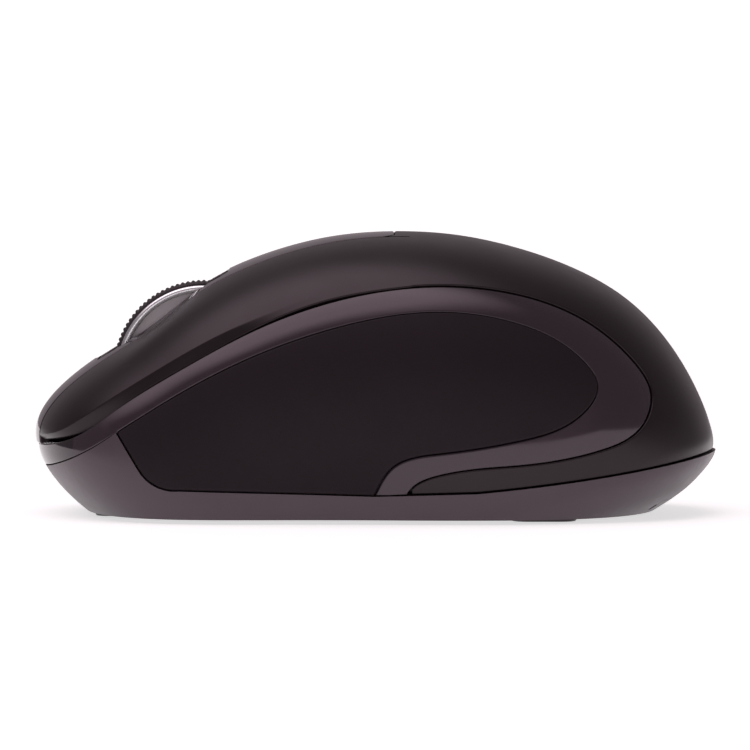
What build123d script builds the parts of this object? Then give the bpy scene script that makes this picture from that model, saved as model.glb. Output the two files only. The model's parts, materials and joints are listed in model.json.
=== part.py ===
from build123d import *
import math
import os

os.makedirs("parts", exist_ok=True)

# Wireless computer mouse, millimetres.  +Y is the nose, +X the right-hand side, +Z up.
# z = 0 is the desk: the glide feet stand on it and the case floats FLOOR_Z above it.

# ---------------------------------------------------------------- driving dimensions
FLOOR_Z = 0.6            # underside of the case above the desk = glide foot thickness
FLOOR_TOP = 2.4          # inside face of the base floor
SKIN = 2.0               # wall of every outer cover
WALL_FACE = 2.12         # outer face of the inner wall that carries grips and bands
WALL_IN = 3.5            # inner face of that wall
TUB_IN = 3.2             # wall of the base itself
SEAM = 0.12              # half of this is taken off each side of a fixed seam
STRIP_HALF = 7.6         # half width of the glossy centre console
HINGE_Y = -5.0           # button flexure line, where keys and palm cover meet
HINGE_Z = 29.5           # height of the button pivot pins
CLICK_DEG = 0.45         # full button travel
BIG = 60.0

WHEEL_Y = 24.0
WHEEL_Z = 19.8
WHEEL_R = 12.7           # over the tyre ribs
TYRE_ROOT = 12.0
WHEEL_HALF = 3.5
RIBS = 78

PIVOT_Y = 13.2           # wheel cradle pivot
PIVOT_Z = 9.6

PCB_BOTTOM = 4.2
PCB_TOP = 5.4

AAA_R = 5.25
AAA_L = 44.5
AAA_X = 5.45
AAA_Z = 8.4
AAA_BACK = -35.0

SWITCH_X = 14.6
SWITCH_Y = 29.5
PLUNGER_Y = 32.0
SWITCH_TOP = 11.9

# ---------------------------------------------------------------- outer form
# Side profile from under the nose, over the crown, to under the tail.
PROFILE = [
    (33.0, -4.0), (40.5, 0.7), (43.6, 3.5), (46.1, 6.8), (47.3, 9.6), (47.4, 12.6),
    (46.2, 15.2), (43.1, 18.6), (36.3, 23.9), (29.6, 29.0), (22.3, 33.3), (13.9, 36.7),
    (5.5, 38.7), (-2.9, 39.3), (-11.2, 38.8), (-19.7, 37.0), (-28.0, 34.0), (-35.0, 29.9),
    (-40.6, 24.2), (-44.7, 17.5), (-46.9, 12.2), (-47.5, 8.9), (-46.3, 6.6), (-43.3, 3.5),
    (-39.0, 0.6), (-32.0, -4.0),
]
HUB_Z = -4.0             # every contour of the form is scaled about (y 0, z HUB_Z)
FULL_HALF = 29.6         # half width before the waist and the lower tuck
ROWS = 31
COLS = 65
POLE = 0.955             # share of the quarter turn covered on each side

with BuildLine() as profile_line:
    Spline(*PROFILE)
profile_edge = profile_line.edges()[0]


def ease(t):
    t = max(0.0, min(1.0, t))
    return t * t * (3 - 2 * t)


def half_width(y, z):
    waist = 1 - 0.055 * math.exp(-(((y - 9) / 17) ** 2))
    tuck = 0.92 + 0.10 * ease(z / 24)
    return FULL_HALF * waist * tuck


def form_point(side, along, depth):
    # side runs -1..1 across the body, along runs 0..1 from nose to tail
    rim = profile_edge.position_at(along)
    heading = profile_edge.tangent_at(along)
    reach = math.hypot(rim.X, rim.Y - HUB_Z)
    facing = abs(rim.X * heading.Y - (rim.Y - HUB_Z) * heading.X) / reach
    shrink = (reach - depth / max(0.7, facing)) / reach
    angle = math.atan2(rim.Y - HUB_Z, rim.X)
    fullness = 3.7 + 0.7 * math.sin(angle) ** 2 + 0.55 * math.cos(angle)
    ring = math.cos(abs(side) * math.pi / 2)
    y = ring * rim.X * shrink
    z = HUB_Z + ring * (rim.Y - HUB_Z) * shrink
    x = (half_width(y, z) - depth) * math.sqrt(1 - ring**fullness)
    return (math.copysign(x, side), y, z)


def form_solid(depth):
    # closed solid of the outer form moved inward by depth, open ended below the floor
    grid = []
    for i in range(ROWS):
        side = POLE * (2 * i / (ROWS - 1) - 1)
        row = [form_point(side, j / (COLS - 1), depth) for j in range(COLS)]
        if i in (0, ROWS - 1):
            row = [(row[0][0], p[1], p[2]) for p in row]
        grid.append(row)
    hull = Face.make_surface_from_array_of_points(grid, tol=0.003, min_deg=3, max_deg=3)
    ends = [e for e in hull.edges() if abs(e.position_at(0).X - e.position_at(1).X) < 1e-3]
    rims = [e for e in hull.edges() if abs(e.position_at(0).X - e.position_at(1).X) > 1e-3]
    closers = [Edge.make_line(e.position_at(1), e.position_at(0)) for e in ends]
    faces = [hull]
    for end, closer in zip(ends, closers):
        faces.append(Face(Wire([end, closer])))
    faces.append(Face(Wire(rims + closers)))
    return Solid(Shell(faces))


with BuildPart() as form_outer:
    add(form_solid(0.0))
    with Locations((0, 0, FLOOR_Z)):
        Box(160, 160, 30, align=(Align.CENTER, Align.CENTER, Align.MAX), mode=Mode.SUBTRACT)

with BuildPart() as form_mid:
    add(form_solid(SKIN / 2))

with BuildPart() as form_skin:
    add(form_solid(SKIN))

with BuildPart() as form_wall:
    add(form_solid(WALL_FACE))

with BuildPart() as form_in:
    add(form_solid(WALL_IN))

with BuildPart() as form_tub:
    add(form_solid(TUB_IN))
    with Locations((0, 0, FLOOR_TOP)):
        Box(160, 160, 30, align=(Align.CENTER, Align.CENTER, Align.MAX), mode=Mode.SUBTRACT)

with BuildPart() as skin:
    add(form_outer.part)
    add(form_skin.part, mode=Mode.SUBTRACT)

# ---------------------------------------------------------------- side-view zones
# Seams drawn on the side elevation (y, z) and used on both sides of the body.
BAND_TOP = [
    (56.0, 8.8), (46.4, 10.1), (41.8, 11.7), (36.3, 15.4), (27.4, 21.0), (16.1, 27.0),
    (4.9, 30.9), (-6.2, 32.6), (-17.4, 31.9), (-27.5, 28.6), (-35.6, 22.2), (-38.2, 17.2),
    (-36.6, 12.9), (-31.3, 10.1), (-20.1, 8.1), (-9.0, 6.8), (-4.6, 4.6), (-4.0, 0.0),
]
GRIP_TOP = [
    (35.7, 12.5), (27.4, 17.7), (16.1, 23.4), (4.9, 27.2), (-9.0, 29.2), (-20.1, 27.4),
    (-28.6, 22.4), (-30.6, 18.8), (-28.3, 15.0), (-20.1, 11.6), (-9.0, 9.8), (-2.2, 7.8),
    (0.2, 4.0),
]
KEY_ROOM = [(y, z + 0.06 + max(0.0, y - HINGE_Y) * 0.0094) for y, z in BAND_TOP[:8]]


def spaced(points, gap, count):
    # the smooth curve through the points, moved sideways by gap and resampled
    with BuildLine() as run:
        Spline(*points)
    edge = run.edges()[0]
    moved = []
    for i in range(count + 1):
        spot = edge.position_at(i / count)
        along = edge.tangent_at(i / count)
        moved.append((spot.X + along.Y * gap, spot.Y - along.X * gap))
    return moved


def band_outline(gap):
    with BuildSketch() as zone:
        with BuildLine():
            top = Spline(*spaced(BAND_TOP, gap, 40))
            Polyline(top @ 1, ((top @ 1).X, -9.0), (60.0, -9.0), (60.0, (top @ 0).Y), top @ 0)
        make_face()
    return zone.sketch


def grip_outline(gap):
    with BuildSketch() as zone:
        with BuildLine():
            top = Spline(*spaced(GRIP_TOP, gap, 30))
            Polyline(top @ 1, ((top @ 1).X, -9.0), ((top @ 0).X, -9.0), top @ 0)
        make_face()
    return zone.sketch


def base_outline(gap):
    # lines and arcs only: tail, rear sill, grip sill, corner, riser and nose
    with BuildSketch() as zone:
        with BuildLine():
            ThreePointArc((-56.0, 10.6), (-31.3, 6.3), (-14.0, 4.3))
            Line((-14.0, 4.3), (0.2, 3.9))
            Line((0.2, 3.9), (27.0, 4.6))
            ThreePointArc((27.0, 4.6), (30.8, 5.5), (32.6, 7.4))
            Line((32.6, 7.4), (35.7, 12.5))
            ThreePointArc((35.7, 12.5), (45.2, 7.2), (57.0, 4.6))
            Polyline((57.0, 4.6), (57.0, -9.0), (-56.0, -9.0), (-56.0, 10.6))
        make_face()
        if gap:
            offset(amount=gap, kind=Kind.INTERSECTION, mode=Mode.REPLACE)
    return zone.sketch


with BuildSketch() as nose_zone:
    with Locations((51.8, 5.0)):
        Rectangle(20.0, 30.0)

# The keys need room to swing, so their lower edge lifts off the band towards the nose.
with BuildSketch() as key_room:
    with BuildLine():
        room_curve = Spline(*KEY_ROOM)
        Polyline(room_curve @ 1, (-6.2, -9.0), (56.0, -9.0), room_curve @ 0)
    make_face()

with BuildSketch() as band_face:
    add(band_outline(-SEAM / 2))
    add(grip_outline(SEAM / 2), mode=Mode.SUBTRACT)
    add(base_outline(SEAM / 2), mode=Mode.SUBTRACT)

with BuildSketch() as grip_face:
    add(grip_outline(-SEAM / 2))
    add(base_outline(SEAM / 2), mode=Mode.SUBTRACT)

with BuildSketch() as cover_off:
    add(band_outline(SEAM / 2))
    add(base_outline(SEAM / 2))

with BuildSketch() as key_off:
    add(key_room.sketch)
    add(base_outline(SEAM / 2))
    with Locations((HINGE_Y - 40.0 + SEAM / 2, 20.0)):
        Rectangle(80.0, 80.0)


# ---------------------------------------------------------------- base shell
with BuildPart() as base_cutter:
    with BuildSketch(Plane.YZ):
        add(base_outline(-SEAM / 2))
    extrude(amount=BIG, both=True)

with BuildPart() as wall_cutter:
    with BuildSketch(Plane.YZ):
        add(band_outline(-1.4))
    extrude(amount=BIG, both=True)

with BuildPart() as side_walls:
    add(form_wall.part)
    add(form_in.part, mode=Mode.SUBTRACT)
    add(wall_cutter.part, mode=Mode.INTERSECT)
    with Locations((0, 0, FLOOR_Z + 0.4)):
        Box(160, 160, 30, align=(Align.CENTER, Align.CENTER, Align.MAX), mode=Mode.SUBTRACT)
    with Locations((0, 38.5, 0)):
        Box(160, 60, 160, align=(Align.CENTER, Align.MIN, Align.CENTER), mode=Mode.SUBTRACT)

with BuildPart() as base_tub:
    add(form_outer.part)
    add(form_tub.part, mode=Mode.SUBTRACT)
    add(base_cutter.part, mode=Mode.INTERSECT)
    add(side_walls.part)

# ---------------------------------------------------------------- side bands and grips
with BuildPart() as band_cutter:
    with BuildSketch(Plane.YZ):
        add(band_face.sketch)
        add(nose_zone.sketch, mode=Mode.SUBTRACT)
    extrude(amount=-BIG)

with BuildPart() as left_band:
    add(skin.part)
    add(band_cutter.part, mode=Mode.INTERSECT)

with BuildPart() as trim_cutter:
    with BuildSketch(Plane.YZ):
        add(band_face.sketch)
        add(nose_zone.sketch, mode=Mode.INTERSECT)
    extrude(amount=BIG, both=True)

with BuildPart() as nose_trim:
    add(skin.part)
    add(trim_cutter.part, mode=Mode.INTERSECT)

with BuildPart() as grip_cutter:
    with BuildSketch(Plane.YZ):
        add(grip_face.sketch)
    extrude(amount=-BIG)

with BuildPart() as left_grip:
    add(skin.part)
    add(grip_cutter.part, mode=Mode.INTERSECT)

with BuildPart() as cover_cutter:
    with BuildSketch(Plane.YZ):
        add(cover_off.sketch)
    extrude(amount=BIG, both=True)

with BuildPart() as crown_shell:
    add(skin.part)
    add(cover_cutter.part, mode=Mode.SUBTRACT)

with BuildPart() as key_cutter:
    with BuildSketch(Plane.YZ):
        add(key_off.sketch)
    extrude(amount=BIG, both=True)

with BuildPart() as keys_shell:
    add(skin.part)
    add(key_cutter.part, mode=Mode.SUBTRACT)


# ---------------------------------------------------------------- battery bay, posts and openings
BAY_HALF = 10.9
BAY_FRONT = 10.0
BAY_REAR = -37.4
BAY_WALL = 1.2
BAY_TOP = 11.5
DOOR_HALF = 11.4
DOOR_FRONT = 10.3
SLIT = 0.1               # running clearance of sliding parts

CASE_POSTS = [(15.0, -22.0), (-15.0, -22.0)]
NOSE_POST = (0.0, 37.0)
CASE_SCREWS = [(15.0, -22.0, 8.0), (-15.0, -22.0, 8.0), (0.0, 37.0, 3.4)]  # x, y, top of head
PCB_POSTS = [(17.0, 9.0), (-17.0, 9.0), (18.0, 20.5), (-18.0, 20.5)]
SENSOR_Y = 16.6
SLIDER = (-16.5, -3.5)
PAIR = (16.5, 1.5)
GRIP_PEGS = [(22.0, 12.0), (-14.0, 20.0)]
BAND_PEGS = [(24.0, 20.5), (-1.0, 29.5), (-33.5, 14.6)]
DONGLE = (17.6, -10.6)

with BuildPart() as bay:
    with Locations((0, (BAY_FRONT + BAY_REAR) / 2, FLOOR_TOP)):
        Box(
            2 * (BAY_HALF + BAY_WALL), BAY_FRONT - BAY_REAR + 2 * BAY_WALL, BAY_TOP - FLOOR_TOP,
            align=(Align.CENTER, Align.CENTER, Align.MIN),
        )
        Box(
            2 * BAY_HALF, BAY_FRONT - BAY_REAR, BAY_TOP - FLOOR_TOP,
            align=(Align.CENTER, Align.CENTER, Align.MIN), mode=Mode.SUBTRACT,
        )

with BuildPart() as base_posts:
    for x, y in CASE_POSTS:
        with Locations((x, y, FLOOR_Z + 0.3)):
            Cylinder(3.0, 10.7, align=(Align.CENTER, Align.CENTER, Align.MIN))
    with Locations((NOSE_POST[0], NOSE_POST[1], FLOOR_Z + 0.3)):
        Cylinder(3.0, 6.1, align=(Align.CENTER, Align.CENTER, Align.MIN))
    for x, y in PCB_POSTS:
        with Locations((x, y, FLOOR_Z + 0.3)):
            Cylinder(1.9, PCB_BOTTOM - FLOOR_Z - 0.3, align=(Align.CENTER, Align.CENTER, Align.MIN))
    for x in (-8.3, 8.3):
        with BuildSketch(Plane.YZ.offset(x - 0.8)):
            with BuildLine():
                Line((PIVOT_Y - 1.8, 2.0), (PIVOT_Y - 1.8, PIVOT_Z))
                ThreePointArc((PIVOT_Y - 1.8, PIVOT_Z), (PIVOT_Y, PIVOT_Z + 1.8), (PIVOT_Y + 1.8, PIVOT_Z))
                Polyline((PIVOT_Y + 1.8, PIVOT_Z), (PIVOT_Y + 1.8, 2.0), (PIVOT_Y - 1.8, 2.0))
            make_face()
        extrude(amount=1.6)

with BuildPart() as dongle_sleeve:
    with Locations((DONGLE[0], DONGLE[1], FLOOR_TOP - 0.4)):
        Box(8.2, 16.0, 8.6, align=(Align.CENTER, Align.CENTER, Align.MIN))

with BuildPart() as base_shell:
    add(base_tub.part)
    add(bay.part)
    add(base_posts.part)
    add(dongle_sleeve.part)
    # battery opening, run out to the tail so that the door can slide off backwards
    with Locations((0, DOOR_FRONT, 0)):
        Box(
            2 * DOOR_HALF + 2 * SLIT, 80.0, FLOOR_TOP,
            align=(Align.CENTER, Align.MAX, Align.MIN), mode=Mode.SUBTRACT,
        )
    with Locations((0, DOOR_FRONT, 1.15)):
        Box(
            2 * DOOR_HALF + 2.0, 80.0, 0.7,
            align=(Align.CENTER, Align.MAX, Align.MIN), mode=Mode.SUBTRACT,
        )
    # case screws, counterbored from below, and room above for the cover posts
    for x, y, top in CASE_SCREWS:
        with Locations((x, y, 0)):
            Cylinder(2.2, top, align=(Align.CENTER, Align.CENTER, Align.MIN), mode=Mode.SUBTRACT)
            Cylinder(1.1, 12.0, align=(Align.CENTER, Align.CENTER, Align.MIN), mode=Mode.SUBTRACT)
    for x, y in PCB_POSTS:
        with Locations((x, y, PCB_BOTTOM)):
            Cylinder(0.65, 2.6, align=(Align.CENTER, Align.CENTER, Align.MAX), mode=Mode.SUBTRACT)
    with Locations((0, PIVOT_Y, PIVOT_Z)):
        Cylinder(0.85, 30.0, rotation=(0, 90, 0), mode=Mode.SUBTRACT)
    # sensor window
    with BuildSketch(Plane.XY):
        with Locations((0, SENSOR_Y)):
            SlotOverall(11.0, 6.0)
    extrude(amount=FLOOR_TOP + 0.1, mode=Mode.SUBTRACT)
    # power slider slot and pairing button hole
    with BuildSketch(Plane.XY):
        with Locations(SLIDER):
            Rectangle(3.0, 6.2)
    extrude(amount=FLOOR_TOP + 0.1, mode=Mode.SUBTRACT)
    with Locations((PAIR[0], PAIR[1], 0)):
        Cylinder(2.1, FLOOR_TOP + 0.1, align=(Align.CENTER, Align.CENTER, Align.MIN), mode=Mode.SUBTRACT)
    # pocket for the USB receiver
    with Locations((DONGLE[0], DONGLE[1], 0)):
        Box(6.5, 14.4, 12.0, align=(Align.CENTER, Align.CENTER, Align.MIN), mode=Mode.SUBTRACT)
    # the side walls step back for the cover posts
    for x, y in CASE_POSTS:
        with Locations((x, y, BAY_TOP + 0.1)):
            Cylinder(2.3, 30.0, align=(Align.CENTER, Align.CENTER, Align.MIN), mode=Mode.SUBTRACT)
    # peg holes for the grips
    for y, z in GRIP_PEGS:
        with Locations((0, y, z)):
            Cylinder(1.3, 70.0, rotation=(0, 90, 0), mode=Mode.SUBTRACT)
    # peg holes for the bands
    for y, z in BAND_PEGS:
        with Locations((0, y, z)):
            Cylinder(0.7, 70.0, rotation=(0, 90, 0), mode=Mode.SUBTRACT)

with BuildPart() as battery_door:
    add(form_outer.part)
    with Locations((0, DOOR_FRONT - SLIT, 0)):
        Box(
            2 * DOOR_HALF, 80.0, FLOOR_TOP - 0.05,
            align=(Align.CENTER, Align.MAX, Align.MIN), mode=Mode.INTERSECT,
        )
    with Locations((0, -14.0, 1.5)):
        Box(2 * DOOR_HALF + 1.7, 44.0, 0.5)
    # thumb grooves, raised side down
    with Locations(*[(0, 4.5 - 1.3 * i, FLOOR_Z) for i in range(5)]):
        Box(9.0, 0.6, 0.6, mode=Mode.SUBTRACT)

# ---------------------------------------------------------------- batteries and contacts
with BuildPart() as battery_holder:
    with Locations((0, -15.0, BAY_TOP)):
        Box(2 * (BAY_HALF + BAY_WALL) - 0.4, 26.0, 3.5, align=(Align.CENTER, Align.CENTER, Align.MIN))
    with Locations((-AAA_X, -15.0, AAA_Z), (AAA_X, -15.0, AAA_Z)):
        Cylinder(AAA_R + 0.15, 40.0, rotation=(90, 0, 0), mode=Mode.SUBTRACT)

with BuildPart() as left_battery:
    with BuildSketch(Plane.XZ.offset(-AAA_BACK)):
        with Locations((-AAA_X, AAA_Z)):
            Circle(AAA_R)
    extrude(amount=-(AAA_L - 1.0))
    fillet(left_battery.edges(), radius=0.5)
    with BuildSketch(Plane.XZ.offset(-AAA_BACK - AAA_L + 1.5)):
        with Locations((-AAA_X, AAA_Z)):
            Circle(1.9)
    extrude(amount=-1.5)

RIGHT_BACK = -36.95

with BuildPart() as right_battery:
    with BuildSketch(Plane.XZ.offset(-RIGHT_BACK - 1.0)):
        with Locations((AAA_X, AAA_Z)):
            Circle(AAA_R)
    extrude(amount=-(AAA_L - 1.0))
    fillet(right_battery.edges(), radius=0.5)
    with BuildSketch(Plane.XZ.offset(-RIGHT_BACK)):
        with Locations((AAA_X, AAA_Z)):
            Circle(1.9)
    extrude(amount=-1.5)

with BuildPart() as battery_contacts:
    with Locations((-AAA_X, 9.72, AAA_Z), (AAA_X, 9.72, AAA_Z)):
        Box(8.0, 0.4, 8.0)
    with Locations((0, -37.17, AAA_Z)):
        Box(19.0, 0.4, 8.0)


def coil(radius, wire, turns, height):
    # round-wire compression spring standing on its plane, wire ends inside the height
    with BuildPart() as spring:
        with BuildLine() as path:
            Helix(pitch=(height - wire * 2) / turns, height=height - wire * 2, radius=radius)
        with BuildSketch(Plane(origin=path.line @ 0, z_dir=path.line % 0)):
            Circle(wire)
        sweep(is_frenet=True)
    return spring.part.moved(Location((0, 0, wire)))


battery_coil = coil(2.6, 0.25, 2.5, 1.9)
with BuildPart() as battery_springs:
    with Locations(Location((-AAA_X, -36.92, AAA_Z), (-90, 0, 0)), Location((AAA_X, 7.58, AAA_Z), (-90, 0, 0))):
        add(battery_coil)

# ---------------------------------------------------------------- circuit board
with BuildPart() as main_board:
    with BuildSketch(Plane.XY.offset(PCB_BOTTOM)):
        with BuildLine():
            Polyline(
                (-12.7, 11.7), (-12.7, -9.0), (-20.6, -9.0), (-20.6, 28.0), (-16.6, 35.0), (-10.6, 37.8),
                (-3.6, 37.8), (-3.6, 33.4), (3.6, 33.4), (3.6, 37.8), (10.6, 37.8), (16.6, 35.0),
                (20.6, 28.0), (20.6, -1.8), (12.7, -1.8), (12.7, 11.7), (9.5, 11.7), (9.5, 15.4),
                (7.1, 15.4), (7.1, 11.7), (-7.1, 11.7), (-7.1, 15.4), (-9.5, 15.4), (-9.5, 11.7),
                (-12.7, 11.7),
            )
        make_face()
        with Locations(*PCB_POSTS):
            Circle(0.8, mode=Mode.SUBTRACT)
        with Locations((0, SENSOR_Y)):
            Circle(1.9, mode=Mode.SUBTRACT)
    extrude(amount=PCB_TOP - PCB_BOTTOM)

with BuildPart() as board_screws:
    with BuildSketch(Plane.XY.offset(PCB_TOP)):
        with Locations(*PCB_POSTS):
            Circle(1.6)
    extrude(amount=1.0)
    with BuildSketch(Plane.XY.offset(PCB_TOP + 0.1)):
        with Locations(*PCB_POSTS):
            Circle(0.6)
    extrude(amount=-3.7)
    with BuildSketch(Plane.XY.offset(PCB_TOP + 1.0)):
        with Locations(*PCB_POSTS):
            Rectangle(1.8, 0.35)
            Rectangle(0.35, 1.8)
    extrude(amount=-0.5, mode=Mode.SUBTRACT)

with BuildPart() as case_screws:
    with Locations(*[(x, y, top - 1.2) for x, y, top in CASE_SCREWS]):
        Cylinder(2.0, 1.2, align=(Align.CENTER, Align.CENTER, Align.MIN))
        Cylinder(0.85, 7.6, align=(Align.CENTER, Align.CENTER, Align.MIN))
    with Locations(*[(x, y, top - 1.2) for x, y, top in CASE_SCREWS]):
        Box(2.2, 0.4, 1.2, mode=Mode.SUBTRACT)
        Box(0.4, 2.2, 1.2, mode=Mode.SUBTRACT)

with BuildPart() as controller_chip:
    with Locations((-16.0, 14.5, PCB_TOP)):
        Box(5.0, 5.0, 0.9, align=(Align.CENTER, Align.CENTER, Align.MIN))
    with Locations((-17.6, 12.9, PCB_TOP + 0.9)):
        Cylinder(0.3, 0.2, mode=Mode.SUBTRACT)

with BuildPart() as clock_crystal:
    with Locations((-13.6, 20.2, PCB_TOP)):
        Box(2.5, 3.2, 0.8, align=(Align.CENTER, Align.CENTER, Align.MIN))

with BuildPart() as capacitor:
    with Locations((15.8, 14.8, PCB_TOP)):
        Cylinder(2.2, 5.4, align=(Align.CENTER, Align.CENTER, Align.MIN))
    fillet(capacitor.edges().sort_by(Axis.Z)[-1], radius=0.4)

# ---------------------------------------------------------------- optical sensor
with BuildPart() as sensor_chip:
    with Locations((0, SENSOR_Y, PCB_TOP)):
        Box(7.4, 5.6, 1.5, align=(Align.CENTER, Align.CENTER, Align.MIN))

with BuildPart() as sensor_led:
    with Locations((0, 22.4, PCB_TOP)):
        Box(2.0, 3.0, 0.9, align=(Align.CENTER, Align.CENTER, Align.MIN))

with BuildPart() as sensor_lens:
    with Locations((0, SENSOR_Y, FLOOR_TOP + 0.02)):
        Box(13.0, 8.4, 1.7, align=(Align.CENTER, Align.CENTER, Align.MIN))
    with Locations((-2.4, SENSOR_Y, 2.6), (2.4, SENSOR_Y, 2.6)):
        Sphere(2.2)
    with Locations((0, SENSOR_Y, 4.12)):
        Box(20.0, 20.0, 6.0, align=(Align.CENTER, Align.CENTER, Align.MIN), mode=Mode.SUBTRACT)
    with Locations((0, SENSOR_Y, 1.0)):
        Box(20.0, 20.0, 6.0, align=(Align.CENTER, Align.CENTER, Align.MAX), mode=Mode.SUBTRACT)

# ---------------------------------------------------------------- switches under the keys
with BuildPart() as left_switch:
    with Locations((-SWITCH_X, SWITCH_Y, PCB_TOP)):
        Box(5.8, 12.8, SWITCH_TOP - PCB_TOP, align=(Align.CENTER, Align.CENTER, Align.MIN))
    chamfer(left_switch.edges().group_by(Axis.Z)[-1], length=0.4)
    with Locations((-SWITCH_X, PLUNGER_Y, SWITCH_TOP)):
        Box(1.6, 2.9, 1.6, align=(Align.CENTER, Align.CENTER, Align.MAX), mode=Mode.SUBTRACT)

with BuildPart() as left_plunger:
    with Locations((-SWITCH_X, PLUNGER_Y, SWITCH_TOP - 1.2)):
        Box(1.4, 2.7, 1.9, align=(Align.CENTER, Align.CENTER, Align.MIN))
    fillet(left_plunger.edges().filter_by(Axis.X).group_by(Axis.Z)[-1], radius=0.6)

with BuildPart() as right_switch:
    add(mirror(left_switch.part, about=Plane.YZ))

with BuildPart() as right_plunger:
    add(mirror(left_plunger.part, about=Plane.YZ))

TACT = (9.1, 28.1)

with BuildPart() as wheel_switch:
    with Locations((TACT[0], TACT[1], PCB_TOP)):
        Box(4.4, 4.4, 2.6, align=(Align.CENTER, Align.CENTER, Align.MIN))
    with Locations((TACT[0], TACT[1], PCB_TOP + 2.6)):
        Cylinder(1.2, 1.4, align=(Align.CENTER, Align.CENTER, Align.MAX), mode=Mode.SUBTRACT)

with BuildPart() as wheel_plunger:
    with Locations((TACT[0], TACT[1], PCB_TOP + 1.7)):
        Cylinder(1.1, 1.65, align=(Align.CENTER, Align.CENTER, Align.MIN))

# Drawn at its pressed length, so the cradle pad clears it through the whole wheel click.
cradle_coil = coil(1.4, 0.2, 4.0, 3.0)
with BuildPart() as cradle_spring:
    with Locations((-TACT[0], TACT[1], PCB_TOP)):
        add(cradle_coil)

# ---------------------------------------------------------------- scroll wheel
with BuildPart() as wheel_hub:
    with BuildSketch(Plane.XZ):
        with BuildLine():
            Polyline(
                (0.0, 1.06), (3.5, 1.06), (3.5, 2.6), (2.9, 2.9), (2.9, 11.1), (3.3, 11.2),
                (3.5, 11.45), (3.35, 11.9), (2.65, 12.0), (2.65, 11.4), (0.0, 11.4), (0.0, 1.06),
            )
        make_face()
        mirror(about=Plane.YZ)
    revolve(axis=Axis.X)

with BuildPart() as wheel_tyre:
    with BuildSketch(Plane.YZ.offset(-2.6)):
        Circle(TYRE_ROOT + 0.25)
        with PolarLocations(TYRE_ROOT + 0.32, RIBS):
            Circle(0.37)
        Circle(11.42, mode=Mode.SUBTRACT)
    extrude(amount=5.2)

with BuildPart() as wheel_axle:
    with Locations((0.2, 0, 0)):
        Cylinder(1.0, 13.2, rotation=(0, 90, 0))
    with BuildSketch(Plane.YZ.offset(6.7)):
        RegularPolygon(1.0, 6)
    extrude(amount=3.0)

with BuildPart() as encoder_rotor:
    with BuildSketch(Plane.YZ.offset(6.95)):
        Circle(3.0)
        RegularPolygon(1.02, 6, mode=Mode.SUBTRACT)
    extrude(amount=2.8)

with BuildPart() as encoder_housing:
    with Locations((6.7 + 2.15, 0, 0.4)):
        Box(4.3, 9.0, 9.0)
    chamfer(encoder_housing.edges().filter_by(Axis.X), length=0.8)
    with Locations((6.7, 0, 0)):
        Cylinder(3.08, 3.2, rotation=(0, 90, 0), align=(Align.CENTER, Align.CENTER, Align.MIN), mode=Mode.SUBTRACT)


with BuildPart() as wheel_cradle:
    for x in (-6.7, 5.2):
        with BuildSketch(Plane.YZ.offset(x)):
            with BuildLine():
                Polyline(
                    (11.7, 8.9), (11.7, 10.6), (22.2, 21.4), (25.8, 21.4), (33.2, 9.6),
                    (33.2, 7.6), (31.6, 7.4), (13.2, 8.0), (11.7, 8.9),
                )
            make_face()
            with Locations((WHEEL_Y, WHEEL_Z)):
                Circle(2.4)
                Circle(1.06, mode=Mode.SUBTRACT)
            with Locations((PIVOT_Y, PIVOT_Z)):
                Circle(1.7)
        extrude(amount=1.5)
    with Locations((0, PIVOT_Y, PIVOT_Z)):
        Cylinder(1.5, 12.0, rotation=(0, 90, 0))
        Cylinder(0.8, 18.0, rotation=(0, 90, 0))
    with Locations((0, 32.2, 8.4)):
        Cylinder(1.0, 12.0, rotation=(0, 90, 0))
    with Locations((8.5, TACT[1], 8.8), (-8.5, TACT[1], 8.8)):
        Box(4.6, 2.6, 1.4, align=(Align.CENTER, Align.CENTER, Align.MIN))

# ---------------------------------------------------------------- glossy centre console
with BuildSketch() as strip_plan:
    with BuildLine():
        Polyline(
            (-6.3, -2.6), (-STRIP_HALF, 20.0), (-STRIP_HALF, 60.0), (STRIP_HALF, 60.0),
            (STRIP_HALF, 20.0), (6.3, -2.6), (-6.3, -2.6),
        )
    make_face()
    fillet(strip_plan.vertices().group_by(Axis.Y)[0], radius=2.0)

with BuildSketch() as tongue_plan:
    with BuildLine():
        Polyline(
            (-6.3, -2.6), (-STRIP_HALF, 20.0), (-STRIP_HALF, 60.0), (STRIP_HALF, 60.0),
            (STRIP_HALF, 20.0), (6.3, -2.6), (6.3, -12.0), (-6.3, -12.0), (-6.3, -2.6),
        )
    make_face()

with BuildPart() as strip_prism:
    with BuildSketch():
        add(strip_plan.sketch)
    extrude(amount=BIG)

with BuildPart() as key_parting:
    with BuildSketch():
        add(tongue_plan.sketch)
        offset(amount=0.16)
    extrude(amount=BIG)

with BuildPart() as cover_parting:
    with BuildSketch():
        with Locations((0, HINGE_Y - SEAM / 2)):
            Rectangle(120.0, 120.0, align=(Align.CENTER, Align.MIN))
        with Locations((0, -20.0)):
            Rectangle(12.6, 80.0, mode=Mode.SUBTRACT)
        add(strip_plan.sketch)
        offset(amount=SEAM / 2)
    extrude(amount=BIG)

SLOT_REAR = 20.6
SLOT_FRONT = 39.1
SLOT_MID = (SLOT_REAR + SLOT_FRONT) / 2

with BuildPart() as wheel_room:
    with Locations((0, WHEEL_Y, WHEEL_Z)):
        Cylinder(WHEEL_R + 0.5, 8.6, rotation=(0, 90, 0))

with BuildPart() as console_leg:
    with Locations((0, 40.4, 7.05)):
        Box(6.4, 2.2, 20.0, align=(Align.CENTER, Align.CENTER, Align.MIN))
    add(form_mid.part, mode=Mode.INTERSECT)

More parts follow.
